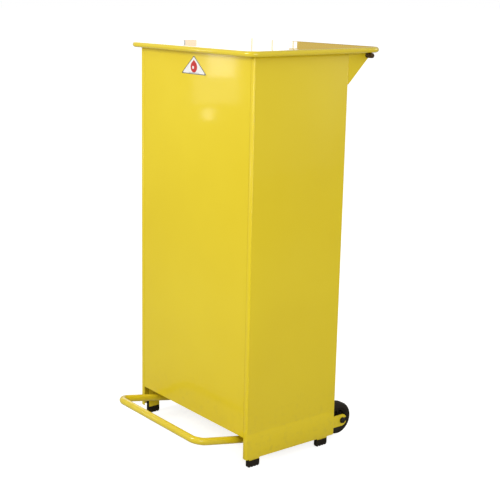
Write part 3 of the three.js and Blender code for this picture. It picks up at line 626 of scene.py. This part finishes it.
def add_wheels():
    """Tyre and hub of each wheel, and the domed cap on its axle."""
    for side, sign in SIDES.items():
        body = f"wheel_{side}"
        low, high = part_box(f"wheel_tyre_{side}")
        centre, half = (low + high) / 2, (high.x - low.x) / 2
        outer = (high.z - low.z) / 2
        hub_low, hub_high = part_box(f"wheel_hub_{side}")
        seat = (hub_high.z - hub_low.z) / 2
        shape = turned(tyre_profile(outer, seat + 0.2 * MM, half), centre, sign, 96, True)
        add_piece(f"tyre_{side}", shape, body, "tyre_rubber", [f"wheel_tyre_{side}"])
        boss_half = (hub_high.x - hub_low.x) / 2
        hub = hub_shape(centre, seat, half, boss_half)
        add_piece(f"hub_{side}", hub, body, "black_plastic", [f"wheel_hub_{side}"])

        cap_low, cap_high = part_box(f"axle_cap_{side}")
        start, length = (cap_low.x if sign > 0 else cap_high.x), cap_high.x - cap_low.x
        radius, dome = (cap_high.z - cap_low.z) / 2, 2.8 * MM
        bore, depth, soft, step = 4.8 * MM, 3.4 * MM, 0.3 * MM, 0.5 * MM
        profile = [(soft, depth), (bore, depth), (bore, 0.0), (radius - soft, 0.0)]
        profile += [(radius, soft), (radius, 1.2 * MM), (radius - step, 1.5 * MM)]
        profile += arc((radius - step - dome, length - dome), dome, 0, 88, 8)
        shape = turned(profile, (start, centre.y, centre.z), sign)
        add_piece(f"axle_end_{side}", shape, "can_body", "black_plastic", [f"axle_cap_{side}"])


def tyre_profile(outer, seat, half):
    """Closed section: a round-shouldered tread with two grooves, a raised ring on each wall."""
    rim, shoulder, groove, ring = half - 3 * MM, 6 * MM, 1.2 * MM, 0.5 * MM
    wall_at, tread = outer - shoulder, half - shoulder
    right = [(seat, rim), (wall_at - 5 * MM, half - ring), (wall_at - 4 * MM, half), (wall_at - 2 * MM, half)]
    right += [(wall_at - 1 * MM, half - ring)]
    right += reversed(arc((wall_at, tread), shoulder, 0, 85, 8))
    right += [(outer, 4.2 * MM), (outer - groove, 3.8 * MM), (outer - groove, 2.8 * MM), (outer, 2.4 * MM)]
    left = [(radius, -along) for radius, along in reversed(right)]
    return right + left


def hub_shape(centre, seat, half, boss_half):
    """Moulded hub: boss, disc and rim, with eight webs on each face."""
    rim, boss, bore, disc = half - 3 * MM, 10 * MM, 4.9 * MM, 3.0 * MM
    right = [(bore, boss_half - 1.0 * MM), (bore + 0.8 * MM, boss_half), (boss - 0.8 * MM, boss_half)]
    right += [(boss, boss_half - 0.8 * MM), (boss + 0.3 * MM, disc + 1.0 * MM), (boss + 1.3 * MM, disc)]
    right += [(seat - 3.5 * MM, disc), (seat - 2.5 * MM, disc + 1.0 * MM), (seat - 2.2 * MM, rim - 0.4 * MM)]
    right += [(seat - 1.8 * MM, rim), (seat - 0.3 * MM, rim), (seat, rim - 0.3 * MM)]
    left = [(radius, -along) for radius, along in reversed(right)]
    shapes = [turned(right + left, centre, 1, 72, True)]
    web_half, web_top = 0.9 * MM, rim - 1.5 * MM
    for i in range(8):
        turn = Matrix.Rotation(math.radians(45 * i), 3, "X")
        for face in (-1, 1):
            corners = [(boss - 0.5 * MM, disc - 0.5 * MM), (seat - 2.0 * MM, disc - 0.5 * MM)]
            corners += [(seat - 2.0 * MM, web_top - 1.5 * MM), (boss - 0.5 * MM, web_top)]
            rings = [
                [centre + turn @ Vector((face * along, radius, across)) for radius, along in corners]
                for across in (-web_half, web_half)
            ]
            shapes.append(skin(rings))
    return merged(*shapes)


# ---- sign ----
def rounded_triangle(half_base, base_z, apex_z, inset, corner):
    """Outline of an upright triangle, drawn inside by inset, with round corners."""
    rise = apex_z - base_z
    slope = math.atan2(rise, half_base)
    shrink = inset + corner
    low_z = base_z + shrink
    low_x = half_base - shrink / math.tan(slope / 2)
    top_z = apex_z - shrink / math.cos(slope)
    turn = math.degrees(slope)
    outline = arc((low_x, low_z), corner, -90, 90 - turn, 6)
    outline += arc((0, top_z), corner, 90 - turn, 90 + turn, 6)
    outline += arc((-low_x, low_z), corner, 90 + turn, 270, 6)
    return outline


def add_sign():
    """Triangular white sheet with a thin dark border and a plain red drop."""
    low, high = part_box("label_plate")
    size = (high.x, low.z, high.z)
    film = 0.12 * MM
    sheet = rounded_triangle(*size, 0.0, 1.6 * MM)
    add_piece("sign", facing(sheet, low.y + film, high.y), "can_body", "sign_face", ["label_plate"])
    rings = []
    for inset, y in ((0.1, low.y), (1.5, low.y), (1.5, low.y + 1.5 * film), (0.1, low.y + 1.5 * film)):
        outline = rounded_triangle(*size, inset * MM, 1.5 * MM)
        rings.append([(x, y, z) for x, z in outline])
    add_piece("sign_border", skin(rings, looped=True), "can_body", "sign_face", finish="sign_border")
    add_sign_figure(low, film)


def add_sign_figure(low, film):
    """A wide red drop with a pale spot, over a thin grey bar."""
    centre, radius, tip = low.z + 15.0 * MM, 11.5 * MM, 30.0 * MM
    lean = math.degrees(math.acos(radius / (low.z + tip - centre)))
    outline = arc((0, centre), radius, 90 + lean, 450 - lean, 32)
    outline.append((0, low.z + tip))
    ink = facing(outline, low.y + 0.25 * film, low.y + film)
    add_piece("sign_drop", ink, "can_body", "sign_face", finish="sign_red")
    spot_centre, spot_radius = (-2.5 * MM, centre - 1.0 * MM), 3.2 * MM
    spot = arc(spot_centre, spot_radius, 0, 360, 24)[:-1]
    add_piece("sign_spot", facing(spot, low.y, low.y + film), "can_body", "sign_face")
    bar = [(-19.0, 2.6), (19.0, 2.6), (19.0, 3.6), (-19.0, 3.6)]  # millimetres, up from the sheet's foot
    bar = [(x * MM, low.z + z * MM) for x, z in bar]
    ink = facing(bar, low.y + 0.25 * film, low.y + film)
    add_piece("sign_bar", ink, "can_body", "sign_face", finish="sign_grey")


# ---- stage ----
def set_camera():
    """Camera at the photograph's viewing angle."""
    data = bpy.data.cameras.new("camera")
    camera = bpy.data.objects.new("camera", data)
    bpy.context.scene.collection.objects.link(camera)
    data.lens = CAMERA_LENS
    data.shift_x = CAMERA_SHIFT
    turn = camera_ahead().to_track_quat("-Z", "Y").to_matrix()
    turn = turn @ Matrix.Rotation(math.radians(CAMERA_ROLL), 3, "Z")
    camera.matrix_world = Matrix.Translation(CAMERA_PLACE) @ turn.to_4x4()
    bpy.context.scene.camera = camera


def camera_ahead():
    """Direction in which the camera looks."""
    azimuth, elevation = math.radians(CAMERA_AZIMUTH), math.radians(CAMERA_ELEVATION)
    level = Vector((-math.sin(azimuth), math.cos(azimuth), 0)) * math.cos(elevation)
    return level + Vector((0, 0, -math.sin(elevation)))


def add_stage_plane(name, corners, material):
    mesh = bpy.data.meshes.new(name)
    mesh.from_pydata([tuple(corner) for corner in corners], [], [(0, 1, 2, 3)])
    mesh.materials.append(material)
    plane = bpy.data.objects.new(name, mesh)
    bpy.context.scene.collection.objects.link(plane)
    return plane


def add_floor():
    """Pale floor, lifted towards white for the camera so that the shadow stays soft; clear from below."""
    reach = 40.0
    tree = Tree("pale_floor")
    pale = (FLOOR_TONE, FLOOR_TONE, FLOOR_TONE)
    tone = tree.mix(tree.spread(tree.noise(0.8, 2.0)), pale, tuple(part * 0.98 for part in pale))
    seen = tree.node("ShaderNodeLightPath").outputs["Is Camera Ray"]
    glow = tree.math("MULTIPLY", seen, FLOOR_GLOW)
    white = (1.0, 1.0, 1.0, 1.0)
    floor = tree.finish(Base_Color=tone, Roughness=0.9, Emission_Color=white, Emission_Strength=glow)
    from_below = tree.node("ShaderNodeNewGeometry").outputs["Backfacing"]
    clear = tree.node("ShaderNodeBsdfTransparent").outputs[0]
    shader, output = tree.nodes["Principled BSDF"], tree.nodes["Material Output"]
    blend = tree.node("ShaderNodeMixShader", {0: from_below, 1: shader.outputs[0], 2: clear})
    tree.links.new(blend.outputs[0], output.inputs["Surface"])
    corners = [(-reach, -reach, 0), (reach, -reach, 0), (reach, reach, 0), (-reach, reach, 0)]
    add_stage_plane("floor", corners, floor)


def add_cards():
    """Bright and warm cards behind the can, seen only in gloss: the window and wall over the lid."""
    level = camera_ahead()
    level.z = 0
    level.normalize()
    right = Vector((level.y, -level.x, 0))
    base = CAMERA_PLACE + level * CARD_DISTANCE
    for number, (start, end, bottom, top, colour) in enumerate(CARDS):
        tree = Tree(f"card_{number}")
        glow = tree.node("ShaderNodeEmission", {"Color": (*colour, 1.0), "Strength": 1.0})
        output = tree.node("ShaderNodeOutputMaterial")
        tree.links.new(glow.outputs[0], output.inputs["Surface"])
        corners = []
        for across, z in ((start, bottom), (end, bottom), (end, top), (start, top)):
            corner = base + right * across
            corners.append((corner.x, corner.y, z))
        card = add_stage_plane(f"card_{number}", corners, tree.material)
        card.visible_camera = False
        card.visible_diffuse = False
        card.visible_shadow = False


def soft_light(name, place, target, size, power):
    data = bpy.data.lights.new(name, "AREA")
    data.shape = "RECTANGLE"
    data.size, data.size_y = size
    data.energy = power
    light = bpy.data.objects.new(name, data)
    bpy.context.scene.collection.objects.link(light)
    light.location = place
    light.rotation_euler = (Vector(target) - Vector(place)).to_track_quat("-Z", "Y").to_euler()
    light.visible_camera = False


def set_lights():
    """A white backdrop, an even pale surround and the area lights."""
    world = bpy.data.worlds.new("studio")
    world.use_nodes = True
    nodes, links = world.node_tree.nodes, world.node_tree.links
    background = nodes["Background"]
    background.inputs["Color"].default_value = (1.0, 1.0, 1.0, 1.0)
    path = nodes.new("ShaderNodeLightPath")
    strength = nodes.new("ShaderNodeMapRange")
    strength.inputs["To Min"].default_value = SURROUND
    strength.inputs["To Max"].default_value = BACKDROP
    links.new(path.outputs["Is Camera Ray"], strength.inputs["Value"])
    links.new(strength.outputs["Result"], background.inputs["Strength"])
    bpy.context.scene.world = world
    bpy.context.scene.view_settings.view_transform = "Standard"
    for light in LIGHTS:
        soft_light(*light)


set_camera()
add_floor()
add_cards()
set_lights()
dress_frame()
add_side_panels()
add_lid()
add_hinge()
add_gusset_welds()
add_buffers()
add_lift_rod()
add_pedal()
add_feet()
add_wheels()
add_sign()
